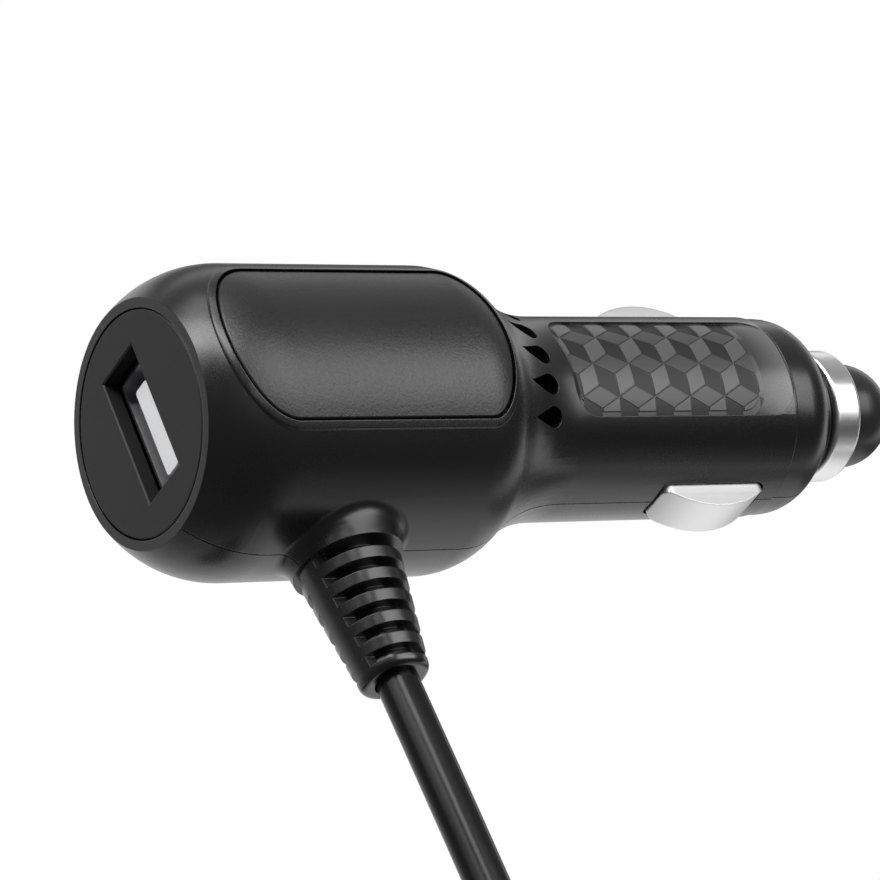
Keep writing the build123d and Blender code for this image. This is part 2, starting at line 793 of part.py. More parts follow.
web_inside = barrel_r + contact_shoulder + contact_bow - contact_thickness
contact_spring_start = pad_y + contact_spring_wire / 2
contact_spring_run = web_inside - contact_gap - contact_spring_start - contact_spring_wire / 2
contact_spring_plane = Plane(origin=(at(window_middle), -contact_spring_start, 0), z_dir=(0, -1, 0))
with BuildPart() as contact_spring_right:
    with BuildLine(contact_spring_plane) as contact_wire:
        Polyline(
            *spring_points(contact_spring_turns, contact_spring_diameter - contact_spring_wire, contact_spring_run)
        )
    with BuildSketch(Plane(contact_wire.line @ 0, z_dir=contact_wire.line % 0)):
        RegularPolygon(contact_spring_wire / 2, wire_sides)
    sweep(transition=Transition.RIGHT)

with BuildPart() as contact_spring_left:
    add(contact_spring_right.part, rotation=(180, 0, 0))

# Cord guard: flange inside the wall, neck through it, tapered body with slots above and below
relief_axis = Axis((at(cord_station), 0, 0), (0, 1, 0))
relief_end = boss_end + relief_length
cord_start = relief_end - cord_insertion
with BuildPart() as strain_relief:
    with BuildSketch(Plane.XY):
        neck_r = outlet_diameter / 2 - outlet_clearance
        with BuildLine():
            Polyline(
                (at(cord_station), -outlet_pad_y + relief_flange_thickness),
                (at(cord_station) + relief_flange_diameter / 2, -outlet_pad_y + relief_flange_thickness),
                (at(cord_station) + relief_flange_diameter / 2, -outlet_pad_y),
                (at(cord_station) + neck_r, -outlet_pad_y),
                (at(cord_station) + neck_r, -boss_end),
                (at(cord_station) + relief_base_diameter / 2, -boss_end),
                (at(cord_station) + relief_end_diameter / 2, -relief_end),
                (at(cord_station), -relief_end),
                close=True,
            )
        make_face()
    revolve(axis=relief_axis)
    fillet(faces().sort_by(Axis.Y)[0].edges(), relief_end_round)
    slope = (relief_core_base - relief_core_end) / 2 / relief_length
    for i in range(relief_slot_count):
        slot_y = boss_end + i * relief_slot_pitch
        slot_r = relief_core_base / 2 - slope * (slot_y - boss_end)
        with BuildSketch(Plane.XZ.offset(slot_y)):
            with Locations((at(cord_station), 0)):
                Circle(relief_base_diameter)
                Circle(slot_r, mode=Mode.SUBTRACT)
                Rectangle(far, relief_spine, mode=Mode.SUBTRACT)
        extrude(amount=relief_slot_width, mode=Mode.SUBTRACT)
    with BuildSketch(Plane.XZ.offset(relief_end)):
        with Locations((at(cord_station), 0)):
            Circle(cord_diameter / 2 + cord_clearance)
    extrude(amount=-cord_insertion, mode=Mode.SUBTRACT)


# Rounds the corners of a run of points so that each bend meets its runs smoothly
def bend_radii(points):
    radii = []
    for a, b, c in zip(points, points[1:], points[2:]):
        into = Vector(*b) - Vector(*a)
        out = Vector(*c) - Vector(*b)
        half_turn = radians(into.get_angle(out)) / 2
        radii.append(bend_share * min(into.length, out.length) / tan(half_turn))
    return radii


cord_x = at(cord_station)
fall_y = cord_bend_y + cord_run * (cos(pi / 6) + cos(pi / 3))
fall_z = cord_run * (sin(pi / 6) + sin(pi / 3))
coil_centre_y = fall_y - coil_turn_diameter / 2
coil_centre_z = fall_z + cord_run + coil_drop
cord_points = [
    (cord_x, -cord_start, 0),
    (cord_x, -cord_bend_y, 0),
    (cord_x, -cord_bend_y - cord_run * cos(pi / 6), -cord_run * sin(pi / 6)),
    (cord_x, -fall_y, -fall_z),
    (cord_x, -fall_y, -fall_z - cord_run),
]
cord_bends = bend_radii(cord_points)
print("cord points", cord_points)
print("cord radii", cord_bends)
with BuildPart() as cord:
    with BuildLine() as cord_path:
        FilletPolyline(*cord_points, radius=cord_bends)
    with BuildSketch(Plane(cord_path.line @ 0, z_dir=cord_path.line % 0)):
        Circle(cord_diameter / 2)
    sweep()
cord_run_length = sum(edge.length for edge in cord_path.edges())
print("cord volume", cord.part.volume, "section x length", pi * cord_diameter**2 / 4 * cord_run_length)

# Tied coil of the spare length, three turns wide and three deep, as one ring
coil_x = cord_x - coil_pitch
coil_section = 2 * coil_pitch + cord_diameter + coil_clearance
with BuildPart() as cord_coil:
    with BuildSketch(Plane.XY.offset(-coil_centre_z)):
        with Locations((coil_x, -coil_centre_y - coil_turn_diameter / 2)):
            RectangleRounded(coil_section, coil_section, coil_section / 3)
    revolve(axis=Axis((coil_x, -coil_centre_y, -coil_centre_z), (1, 0, 0)))

# The end of the lead hangs from the coil to the small connector
tail_x = coil_x - coil_pitch
tail_y = coil_centre_y + coil_turn_diameter / 2 + coil_pitch
tail_end = coil_centre_z + tail_length
with BuildPart() as cord_tail:
    with BuildSketch(Plane.XY.offset(-coil_centre_z)):
        with Locations((tail_x, -tail_y)):
            Circle(cord_diameter / 2)
    extrude(amount=-tail_length)

# Band round the bundle on the side away from the lead
tie_y = coil_centre_y - coil_turn_diameter / 2
with BuildPart() as coil_tie:
    with BuildSketch(Plane.XY.offset(-coil_centre_z)):
        with Locations((coil_x, -tie_y)):
            RectangleRounded(
                coil_section + 2 * tie_thickness, coil_section + 2 * tie_thickness, coil_section / 3 + tie_thickness
            )
    extrude(amount=tie_width / 2, both=True)
    add(cord_coil.part, mode=Mode.SUBTRACT)

# Connector: moulded grip with a neck, flat metal shell and its insert
grip_top = tail_end
grip_bottom = grip_top + plug_grip_length
with BuildPart() as plug_grip:
    with BuildSketch(Plane.XY.offset(-grip_bottom)):
        with Locations((tail_x, -tail_y)):
            RectangleRounded(plug_grip_width, plug_grip_depth, plug_grip_round)
    extrude(amount=plug_grip_length - plug_neck_length)
    fillet(faces().sort_by(Axis.Z)[-1].edges(), plug_grip_round / 2)
    with BuildSketch(Plane.XY.offset(-grip_top)):
        with Locations((tail_x, -tail_y)):
            Circle(cord_diameter / 2 + plug_neck_wall)
    extrude(amount=-plug_neck_length - plug_grip_round, taper=-plug_neck_draft)

with BuildPart() as plug_shell:
    with BuildSketch(Plane.XY.offset(-grip_bottom)):
        with Locations((tail_x, -tail_y)):
            RectangleRounded(plug_shell_width, plug_shell_depth, plug_shell_depth / 4)
            RectangleRounded(
                plug_shell_width - 2 * plug_shell_wall,
                plug_shell_depth - 2 * plug_shell_wall,
                plug_shell_depth / 4 - plug_shell_wall / 2,
                mode=Mode.SUBTRACT,
            )
    extrude(amount=-plug_shell_length)

with BuildPart() as plug_insert:
    with BuildSketch(Plane.XY.offset(-grip_bottom)):
        with Locations((tail_x, -tail_y)):
            Rectangle(
                plug_shell_width - 2 * plug_shell_wall - plug_shell_depth / 2,
                plug_shell_depth / 2 - plug_shell_wall,
            )
    extrude(amount=-(plug_shell_length - plug_insert_recess))

upper_shell.part.label = "upper_shell"
export_step(upper_shell.part, "parts/upper_shell.step")
lower_shell.part.label = "lower_shell"
export_step(lower_shell.part, "parts/lower_shell.step")
face_plate.part.label = "face_plate"
export_step(face_plate.part, "parts/face_plate.step")
head_inlay.part.label = "head_inlay"
export_step(head_inlay.part, "parts/head_inlay.step")
usb_shell.part.label = "usb_shell"
export_step(usb_shell.part, "parts/usb_shell.step")
usb_tongue.part.label = "usb_tongue"
export_step(usb_tongue.part, "parts/usb_tongue.step")
usb_contacts.part.label = "usb_contacts"
export_step(usb_contacts.part, "parts/usb_contacts.step")
circuit_board.part.label = "circuit_board"
export_step(circuit_board.part, "parts/circuit_board.step")
power_inductor.part.label = "power_inductor"
export_step(power_inductor.part, "parts/power_inductor.step")
input_capacitor.part.label = "input_capacitor"
export_step(input_capacitor.part, "parts/input_capacitor.step")
output_capacitor.part.label = "output_capacitor"
export_step(output_capacitor.part, "parts/output_capacitor.step")
regulator_chip.part.label = "regulator_chip"
export_step(regulator_chip.part, "parts/regulator_chip.step")
rectifier_diode.part.label = "rectifier_diode"
export_step(rectifier_diode.part, "parts/rectifier_diode.step")
spring_seat.part.label = "spring_seat"
export_step(spring_seat.part, "parts/spring_seat.step")
tip_spring.part.label = "tip_spring"
export_step(tip_spring.part, "parts/tip_spring.step")
fuse_tube.part.label = "fuse_tube"
export_step(fuse_tube.part, "parts/fuse_tube.step")
fuse_caps.part.label = "fuse_caps"
export_step(fuse_caps.part, "parts/fuse_caps.step")
fuse_sleeve.part.label = "fuse_sleeve"
export_step(fuse_sleeve.part, "parts/fuse_sleeve.step")
tip_pin.part.label = "tip_pin"
export_step(tip_pin.part, "parts/tip_pin.step")
nose_bush.part.label = "nose_bush"
export_step(nose_bush.part, "parts/nose_bush.step")
retaining_ring.part.label = "retaining_ring"
export_step(retaining_ring.part, "parts/retaining_ring.step")
side_contact_left.part.label = "side_contact_left"
export_step(side_contact_left.part, "parts/side_contact_left.step")
side_contact_right.part.label = "side_contact_right"
export_step(side_contact_right.part, "parts/side_contact_right.step")
contact_spring_left.part.label = "contact_spring_left"
export_step(contact_spring_left.part, "parts/contact_spring_left.step")
contact_spring_right.part.label = "contact_spring_right"
export_step(contact_spring_right.part, "parts/contact_spring_right.step")
strain_relief.part.label = "strain_relief"
export_step(strain_relief.part, "parts/strain_relief.step")
cord.part.label = "cord"
export_step(cord.part, "parts/cord.step")
cord_coil.part.label = "cord_coil"
export_step(cord_coil.part, "parts/cord_coil.step")
cord_tail.part.label = "cord_tail"
export_step(cord_tail.part, "parts/cord_tail.step")
coil_tie.part.label = "coil_tie"
export_step(coil_tie.part, "parts/coil_tie.step")
plug_grip.part.label = "plug_grip"
export_step(plug_grip.part, "parts/plug_grip.step")
plug_shell.part.label = "plug_shell"
export_step(plug_shell.part, "parts/plug_shell.step")
plug_insert.part.label = "plug_insert"
export_step(plug_insert.part, "parts/plug_insert.step")
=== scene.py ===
import bmesh
import bpy
import math
from mathutils import Matrix, Vector


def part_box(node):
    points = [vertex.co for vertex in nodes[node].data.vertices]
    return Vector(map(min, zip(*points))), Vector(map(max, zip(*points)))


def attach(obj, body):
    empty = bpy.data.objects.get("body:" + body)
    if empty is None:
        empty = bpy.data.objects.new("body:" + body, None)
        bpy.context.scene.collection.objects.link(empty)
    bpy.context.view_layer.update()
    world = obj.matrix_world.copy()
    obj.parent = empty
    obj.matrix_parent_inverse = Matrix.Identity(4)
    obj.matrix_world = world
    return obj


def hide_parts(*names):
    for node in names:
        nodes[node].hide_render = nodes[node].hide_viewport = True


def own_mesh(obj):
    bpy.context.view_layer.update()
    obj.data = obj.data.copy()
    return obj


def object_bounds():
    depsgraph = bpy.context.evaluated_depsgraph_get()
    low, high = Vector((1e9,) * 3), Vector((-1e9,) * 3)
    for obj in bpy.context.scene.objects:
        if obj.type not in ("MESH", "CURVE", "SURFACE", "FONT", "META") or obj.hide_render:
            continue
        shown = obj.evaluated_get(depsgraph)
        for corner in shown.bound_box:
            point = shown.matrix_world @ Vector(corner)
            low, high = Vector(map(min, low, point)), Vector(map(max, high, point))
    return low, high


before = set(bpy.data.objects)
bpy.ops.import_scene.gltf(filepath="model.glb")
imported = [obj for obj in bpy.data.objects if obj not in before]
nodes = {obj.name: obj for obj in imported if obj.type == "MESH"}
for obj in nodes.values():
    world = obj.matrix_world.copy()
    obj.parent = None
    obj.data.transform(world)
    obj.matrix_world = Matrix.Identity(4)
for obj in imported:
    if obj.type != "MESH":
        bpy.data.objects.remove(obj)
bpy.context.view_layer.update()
mm = 0.001
faceX = -72.7575  # USB face on the plug axis, mm
print("stage: frame loaded,", len(nodes), "nodes")


# node maths with plain operators, for shaders and geometry trees alike
class Field:
    def __init__(self, tree, socket):
        self.tree = tree
        self.socket = socket

    def node(self, kind, inputs=(), out=0, **settings):
        added = self.tree.nodes.new(kind)
        for key, value in settings.items():
            setattr(added, key, value)
        for key, value in dict(inputs).items():
            if isinstance(value, Field):
                self.tree.links.new(value.socket, added.inputs[key])
            elif value is not None:
                added.inputs[key].default_value = value
        return Field(self.tree, added.outputs[out])

    def other(self, out):
        return Field(self.tree, self.socket.node.outputs[out])

    def math(self, operation, second=None, third=None):
        return self.node("ShaderNodeMath", {0: self, 1: second, 2: third}, operation=operation)

    def __add__(self, other):
        return self.math("ADD", other)

    __radd__ = __add__

    def __sub__(self, other):
        return self.math("SUBTRACT", other)

    def __rsub__(self, other):
        return self.node("ShaderNodeMath", {0: other, 1: self}, operation="SUBTRACT")

    def __mul__(self, other):
        return self.math("MULTIPLY", other)

    __rmul__ = __mul__

    def __truediv__(self, other):
        return self.math("DIVIDE", other)

    def noise(self, scale, detail=2.0, rough=0.5):
        return self.node("ShaderNodeTexNoise", {
            "Vector": self, "Scale": scale, "Detail": detail, "Roughness": rough})

    # noise about its middle value
    def swing(self):
        return self - 0.5

    def ramp(self, low, high, toLow, toHigh):
        return self.node("ShaderNodeMapRange", {0: self, 1: low, 2: high, 3: toLow, 4: toHigh}, clamp=True)

    def mixColour(self, first, second):
        return self.node("ShaderNodeMix", {0: self, 6: first, 7: second}, out=2, data_type="RGBA")

    def split(self):
        x = self.node("ShaderNodeSeparateXYZ", {0: self})
        return x, x.other(1), x.other(2)


def newMaterial(name, sockets):
    mat = bpy.data.materials.new(name)
    mat.use_nodes = True
    bsdf = mat.node_tree.nodes["Principled BSDF"]
    for key, value in sockets.items():
        bsdf.inputs[key].default_value = value
    coords = mat.node_tree.nodes.new("ShaderNodeTexCoord")
    return mat, bsdf, Field(mat.node_tree, coords.outputs["Object"])


def plug(bsdf, socket, field):
    field.tree.links.new(field.socket, bsdf.inputs[socket])


easeRays = 6


# fine relief, depth and ease in mm, on edges eased by a small radius
def bump(bsdf, height, bite, depth, ease=0.0):
    eased = height.node("ShaderNodeBevel", {"Radius": ease * mm}, samples=easeRays) if ease else None
    plug(bsdf, "Normal", height.node("ShaderNodeBump", {
        "Height": height, "Strength": bite, "Distance": depth * mm, "Normal": eased}))


coolCast = 1.03  # all greys lean a little to blue


def grey(value):
    return (value, value, value * coolCast, 1.0)


plastic = {"ior": 1.5, "grainDetail": 3.0, "grainRough": 0.6, "cloud": 90.0,
           "dust": 900.0, "dustDetail": 4.0, "dustRough": 0.7, "dustFrom": 0.62, "dustTo": 0.85,
           "cloudShade": 0.3, "dustShade": 0.12, "shadeSpan": 0.25, "toneSpan": 0.25,
           "cloudGloss": 0.08, "fleckGloss": 0.3, "dustGloss": 0.05}


# moulded plastic: fine tool grain, broad sheen changes and a little dust
def mouldedPlastic(name, finish):
    mat, bsdf, here = newMaterial(name, {"IOR": plastic["ior"], "Specular IOR Level": finish["spec"]})
    tone, fleck = finish["tone"], finish["fleck"]
    fine = here.noise(finish["grain"], plastic["grainDetail"], plastic["grainRough"])
    cloud = here.noise(plastic["cloud"])
    dust = here.noise(plastic["dust"], plastic["dustDetail"], plastic["dustRough"])
    dust = dust.ramp(plastic["dustFrom"], plastic["dustTo"], 0.0, 1.0)
    shade = cloud.swing() * plastic["cloudShade"] + fine.swing() * fleck + dust * plastic["dustShade"]
    shade = shade.ramp(-plastic["shadeSpan"], plastic["shadeSpan"], 0.0, 1.0)
    colour = shade.mixColour(grey(tone * (1 - plastic["toneSpan"])), grey(tone * (1 + plastic["toneSpan"])))
    rough = finish["gloss"] + cloud.swing() * plastic["cloudGloss"]
    rough = rough + fine.swing() * fleck * plastic["fleckGloss"] + dust * plastic["dustGloss"]
    if "blocks" in finish:
        colour, rough = blockFaces(here, colour, rough, finish["blocks"])
    # painted shade: the slots of the cord guard are darkened
    if "taper" in finish:
        colour = paintSlotShade(here, colour, tone, finish["taper"])
    if "mouth" in finish:
        mouth = finish["mouth"]
        # painted shade: the walls of the plate's opening are darkened
        inside = mouthPaintedShadeMask(here, mouth)
        colour = inside.mixColour(colour, grey(tone * mouth["tone"]))
        rough = rough + inside * (mouth["gloss"] - rough)
    plug(bsdf, "Base Color", colour)
    plug(bsdf, "Roughness", rough)
    bump(bsdf, fine, finish["bite"], finish["depth"], finish.get("ease", 0.0))
    return mat


# three finishes of the tumbling blocks, told apart by the lattice that the relief is laid out on
def blockFaces(here, colour, rough, blocks):
    x, y, z = here.split()
    station = x / mm - faceX
    turn = (0.0 - y).math("ARCTAN2", z)
    column = (station - blocks["first"]) / (blocks["pitch"] / 2)
    row = (turn * blocks["floor"] - blocks["shift"]) / (blocks["rowPitch"] / 3)
    columnCell = column.math("FLOOR")
    fallingCell = ((row - column) / 2.0).math("FLOOR")
    risingCell = ((row + column) / 2.0).math("FLOOR")
    kind = (fallingCell * 2.0 + columnCell).math("FLOORED_MODULO", 3.0)
    near = 0.1  # whole numbers this close are the same
    leftFace = kind.math("COMPARE", 2.0, near)
    rightFace = kind.math("COMPARE", risingCell - fallingCell - columnCell, near) * (1.0 - leftFace)
    # rounded panel that the blocks fill, and only at the depth of the recess
    halfLength, halfWidth = blocks["panel"][0] / 2, blocks["panel"][1] / 2
    sideways = (y / mm).math("ABSOLUTE")
    awayX = (station - blocks["start"] - halfLength).math("ABSOLUTE") - (halfLength - blocks["corner"])
    awayX = awayX.math("MAXIMUM", 0.0)
    awayY = (sideways - (halfWidth - blocks["corner"])).math("MAXIMUM", 0.0)
    inside = (awayX * awayX + awayY * awayY).math("SQRT").math("LESS_THAN", blocks["corner"])
    depth = (y * y + z * z).math("SQRT") / mm
    reliefMiddle, reliefReach = blocks["relief"]
    inside = inside * depth.math("COMPARE", blocks["floor"] + reliefMiddle, reliefReach)
    tone = rightFace.mixColour(grey(blocks["top"]), grey(blocks["right"]))
    tone = leftFace.mixColour(tone, grey(blocks["left"]))
    sheen = blocks["topGloss"] + leftFace * (blocks["leftGloss"] - blocks["topGloss"])
    # painted highlight: the recess runs out to the front, where its colour is made paler for the light it
    # catches there
    runFrom, runTo = blocks["runOut"]
    flat = sideways.math("LESS_THAN", halfWidth) * station.math("LESS_THAN", runTo)
    paintedRunOutLight = station.ramp(runFrom, runTo, 0.0, 1.0) * flat * depth.math("GREATER_THAN", blocks["outside"])
    colour = inside.mixColour(colour, tone)
    return paintedRunOutLight.mixColour(colour, grey(blocks["runOutPaintedLight"])), rough + inside * (sheen - rough)


# painted shade down in the slots of the cord guard, below its taper
def paintSlotShade(here, colour, tone, taper):
    x, y, z = here.split()
    across, height = x / mm - taper["x"], z / mm
    radius = (across * across + height * height).math("SQRT")
    outside = (y / mm).ramp(taper["to"], taper["from"], taper["small"], taper["big"])
    shadeFull, shadeNone = taper["shade"]
    paintedShadeMask = (radius / outside).ramp(shadeFull, shadeNone, 1.0, 0.0)
    return paintedShadeMask.mixColour(colour, grey(tone * taper["paintedShadeTone"]))


# walls of the opening in the plate, where painted shade darkens the plate's colour
def mouthPaintedShadeMask(here, mouth):
    x, y, z = here.split()
    halfWidth, halfHeight = mouth["half"]
    inside = y.math("ABSOLUTE").math("LESS_THAN", halfWidth * mm)
    inside = inside * z.math("ABSOLUTE").math("LESS_THAN", halfHeight * mm)
    return inside * x.math("GREATER_THAN", (faceX + mouth["edge"]) * mm)


plating = {"stretch": 0.02, "cloud": 160.0, "cloudTint": 0.08, "tintSpan": 0.1, "darkest": 0.92,
           "lineGloss": 0.08, "cloudGloss": 0.06, "bite": 0.15, "depth": 0.01}


# bright plated metal with drawn lines along one axis
def platedMetal(name, finish):
    mat, bsdf, here = newMaterial(name, {"Metallic": 1.0})
    stretch = [finish["lines"]] * 3
    stretch[finish["along"]] *= plating["stretch"]
    lines = here.node("ShaderNodeMapping", {"Vector": here, "Scale": stretch}).noise(1.0)
    cloud = here.noise(plating["cloud"])
    tint = lines.swing() * finish["streak"] + cloud.swing() * plating["cloudTint"]
    tint = tint.ramp(-plating["tintSpan"], plating["tintSpan"], 0.0, 1.0)
    tone = finish["tone"]
    dark = tuple(c * plating["darkest"] for c in tone)
    plug(bsdf, "Base Color", tint.mixColour(dark + (1.0,), tone + (1.0,)))
    rough = finish["gloss"] + lines.swing() * plating["lineGloss"] + cloud.swing() * plating["cloudGloss"]
    plug(bsdf, "Roughness", rough)
    bump(bsdf, lines, plating["bite"], plating["depth"], finish.get("ease", 0.0))
    return mat


# board lacquer over thin copper runs
def boardLacquer(name, finish):
    mat, bsdf, here = newMaterial(name, {"IOR": plastic["ior"]})
    runs = here.node("ShaderNodeTexBrick", {
        "Vector": here, "Scale": finish["runs"], "Mortar Size": finish["gap"]}, out=1)
    cloud = here.noise(finish["cloud"])
    shown = runs * finish["runShade"] + cloud * finish["cloudShade"]
    plug(bsdf, "Base Color", shown.mixColour(finish["tone"], finish["copper"]))
    plug(bsdf, "Roughness", finish["gloss"] + cloud * finish["cloudGloss"])
    bump(bsdf, runs, finish["bite"], finish["depth"])
    return mat


# woven strap: over and under threads
def wovenStrap(name, finish):
    mat, bsdf, here = newMaterial(name, {"IOR": plastic["ior"], "Specular IOR Level": finish["spec"]})
    x, y, z = here.split()
    warp = (z * finish["threads"]).math("SINE")
    weft = ((x + y) * finish["threads"]).math("SINE")
    cloth = warp * weft * 0.5 + 0.5  # from 0 to 1
    fuzz = here.noise(finish["fuzz"], finish["fuzzDetail"])
    shade = cloth * finish["clothShade"] + fuzz * finish["fuzzShade"]
    darkest, palest = finish["toneSpan"]
    plug(bsdf, "Base Color", shade.mixColour(grey(finish["tone"] * darkest), grey(finish["tone"] * palest)))
    plug(bsdf, "Roughness", finish["gloss"] + fuzz * finish["fuzzGloss"])
    bump(bsdf, cloth, finish["bite"], finish["depth"])
    return mat


# clear glass with faint smears
def clearGlass(name, finish):
    mat, bsdf, here = newMaterial(name, {
        "IOR": plastic["ior"], "Transmission Weight": 1.0, "Base Color": finish["tone"]})
    smears = here.noise(finish["smears"], finish["smearDetail"])
    plug(bsdf, "Roughness", smears.ramp(*finish["smearSpan"], *finish["gloss"]))
    return mat


# stations along the plug are counted from the USB face, in mm
blockPanel = {"first": 45.4675, "pitch": 4.5, "rowPitch": 3.62, "floor": 10.1, "shift": 1.71,
              "start": 44.5575, "panel": (24.2, 11.7), "corner": 2.6, "relief": (0.06, 0.12),
              "left": 0.005, "top": 0.046, "right": 0.08, "leftGloss": 0.55, "topGloss": 0.42,
              "runOut": (67.5, 72.3), "outside": 9.9, "runOutPaintedLight": 0.12}
# the cord guard's taper, and the painted shade in its slots
guardTaper = {"x": -55.6575, "from": -16.9, "to": -30.2, "big": 5.2, "small": 3.45,
              "shade": (0.86, 0.97), "paintedShadeTone": 0.12}
# the plate's opening, darkened inside by painted shade
plateMouth = {"half": (7.03, 3.23), "edge": 0.16, "tone": 0.3, "gloss": 0.9}
shellFinish = {"tone": 0.008, "gloss": 0.28, "spec": 0.62,
               "grain": 5200.0, "depth": 0.012, "bite": 0.25, "fleck": 0.15, "ease": 0.12}

looks = {
    "housing": mouldedPlastic("housingBlack", shellFinish),
    "gripHousing": mouldedPlastic("housingBlackBlocks", dict(shellFinish, blocks=blockPanel)),
    "inlay": mouldedPlastic("inlaySatin", {
        "tone": 0.01, "gloss": 0.38, "spec": 0.64,
        "grain": 3600.0, "depth": 0.03, "bite": 0.8, "fleck": 0.6}),
    "plate": mouldedPlastic("plateMatt", {
        "tone": 0.01, "gloss": 0.55, "spec": 0.5,
        "grain": 7000.0, "depth": 0.02, "bite": 0.35, "fleck": 0.3, "ease": 0.12, "mouth": plateMouth}),
    "guard": mouldedPlastic("guardVinyl", {
        "tone": 0.008, "gloss": 0.25, "spec": 0.8,
        "grain": 3600.0, "depth": 0.02, "bite": 0.3, "fleck": 0.25, "ease": 0.1, "taper": guardTaper}),
    "grip": mouldedPlastic("connectorVinyl", {
        "tone": 0.025, "gloss": 0.4, "spec": 0.45,
        "grain": 3600.0, "depth": 0.02, "bite": 0.3, "fleck": 0.25}),
    "jacket": mouldedPlastic("cordJacket", {
        "tone": 0.006, "gloss": 0.24, "spec": 0.35,
        "grain": 2600.0, "depth": 0.015, "bite": 0.25, "fleck": 0.2}),
    "nose": mouldedPlastic("noseBlack", {
        "tone": 0.018, "gloss": 0.28, "spec": 0.5,
        "grain": 4800.0, "depth": 0.015, "bite": 0.25, "fleck": 0.2}),
    "white": mouldedPlastic("whiteInsulator", {
        "tone": 0.86, "gloss": 0.4, "spec": 0.5,
        "grain": 4200.0, "depth": 0.02, "bite": 0.2, "fleck": 0.1}),
    "sleeve": mouldedPlastic("sleeveBlack", {
        "tone": 0.03, "gloss": 0.55, "spec": 0.5,
        "grain": 4200.0, "depth": 0.03, "bite": 0.3, "fleck": 0.2}),
    "chip": mouldedPlastic("chipBlack", {
        "tone": 0.02, "gloss": 0.5, "spec": 0.5,
        "grain": 6000.0, "depth": 0.03, "bite": 0.4, "fleck": 0.3}),
    "ferrite": mouldedPlastic("ferrite", {
        "tone": 0.07, "gloss": 0.6, "spec": 0.4,
        "grain": 5000.0, "depth": 0.04, "bite": 0.5, "fleck": 0.5}),
    "board": boardLacquer("boardResist", {
        "tone": (0.01, 0.09, 0.03, 1), "copper": (0.03, 0.17, 0.06, 1), "gloss": 0.25,
        "runs": 900.0, "gap": 0.09, "runShade": 0.6,
        "cloud": 500.0, "cloudShade": 0.3, "cloudGloss": 0.15, "bite": 0.4, "depth": 0.03}),
    "strap": wovenStrap("strapBlack", {
        "tone": 0.03, "toneSpan": (0.5, 1.4), "gloss": 0.8, "spec": 0.2,
        "threads": 9000.0, "clothShade": 0.7, "bite": 0.6, "depth": 0.08,
        "fuzz": 4000.0, "fuzzDetail": 3.0, "fuzzShade": 0.3, "fuzzGloss": 0.1}),
    "glass": clearGlass("fuseGlass", {
        "tone": (0.95, 0.97, 0.96, 1), "smears": 300.0, "smearDetail": 3.0,
        "smearSpan": (0.3, 0.7), "gloss": (0.02, 0.06)}),
    "chrome": platedMetal("chromePlate", {
        "tone": (0.93, 0.93, 0.94), "gloss": 0.1, "along": 0, "lines": 2600.0, "streak": 0.1, "ease": 0.2}),
    "ring": platedMetal("chromeRing", {
        "tone": (0.93, 0.93, 0.94), "gloss": 0.3, "along": 0, "lines": 2600.0, "streak": 0.1, "ease": 0.2}),
    "contact": platedMetal("satinPlate", {
        "tone": (0.95, 0.95, 0.95), "gloss": 0.44, "along": 0, "lines": 2600.0, "streak": 0.1, "ease": 0.2}),
    "steel": platedMetal("platedSheet", {
        "tone": (0.6, 0.6, 0.61), "gloss": 0.26, "along": 0, "lines": 3200.0, "streak": 0.12}),
    "spring": platedMetal("springWire", {
        "tone": (0.56, 0.56, 0.57), "gloss": 0.3, "along": 0, "lines": 2400.0, "streak": 0.12}),
    "brass": platedMetal("brassStrip", {
        "tone": (0.78, 0.6, 0.3), "gloss": 0.25, "along": 0, "lines": 2800.0, "streak": 0.12}),
    "can": platedMetal("canAluminium", {
        "tone": (0.66, 0.66, 0.68), "gloss": 0.3, "along": 2, "lines": 2600.0, "streak": 0.12}),
}

dress = {
    "upper_shell": "gripHousing",
    "lower_shell": "housing",
    "face_plate": "plate",
    "head_inlay": "inlay",
    "usb_shell": "steel",
    "usb_tongue": "white",
    "usb_contacts": "brass",
    "circuit_board": "board",
    "power_inductor": "ferrite",
    "input_capacitor": "can",
    "output_capacitor": "can",
    "regulator_chip": "chip",
    "rectifier_diode": "chip",
    "spring_seat": "brass",
    "fuse_tube": "glass",
    "fuse_caps": "steel",
    "fuse_sleeve": "sleeve",
    "tip_pin": "chrome",
    "nose_bush": "nose",
    "retaining_ring": "ring",
    "side_contact_left": "contact",
    "side_contact_right": "contact",
    "strain_relief": "guard",
    "coil_tie": "strap",
    "plug_grip": "grip",
    "plug_shell": "steel",
    "plug_insert": "chip",
}
for node, look in dress.items():
    nodes[node].data.materials.clear()
    nodes[node].data.materials.append(looks[look])
print("stage: materials on", len(dress), "nodes")


def linked(name, data):
    added = bpy.data.objects.new(name, data)
    bpy.context.collection.objects.link(added)
    return added


def plainMesh(source):
    return bpy.data.meshes.new_from_object(source.evaluated_get(bpy.context.evaluated_depsgraph_get()))


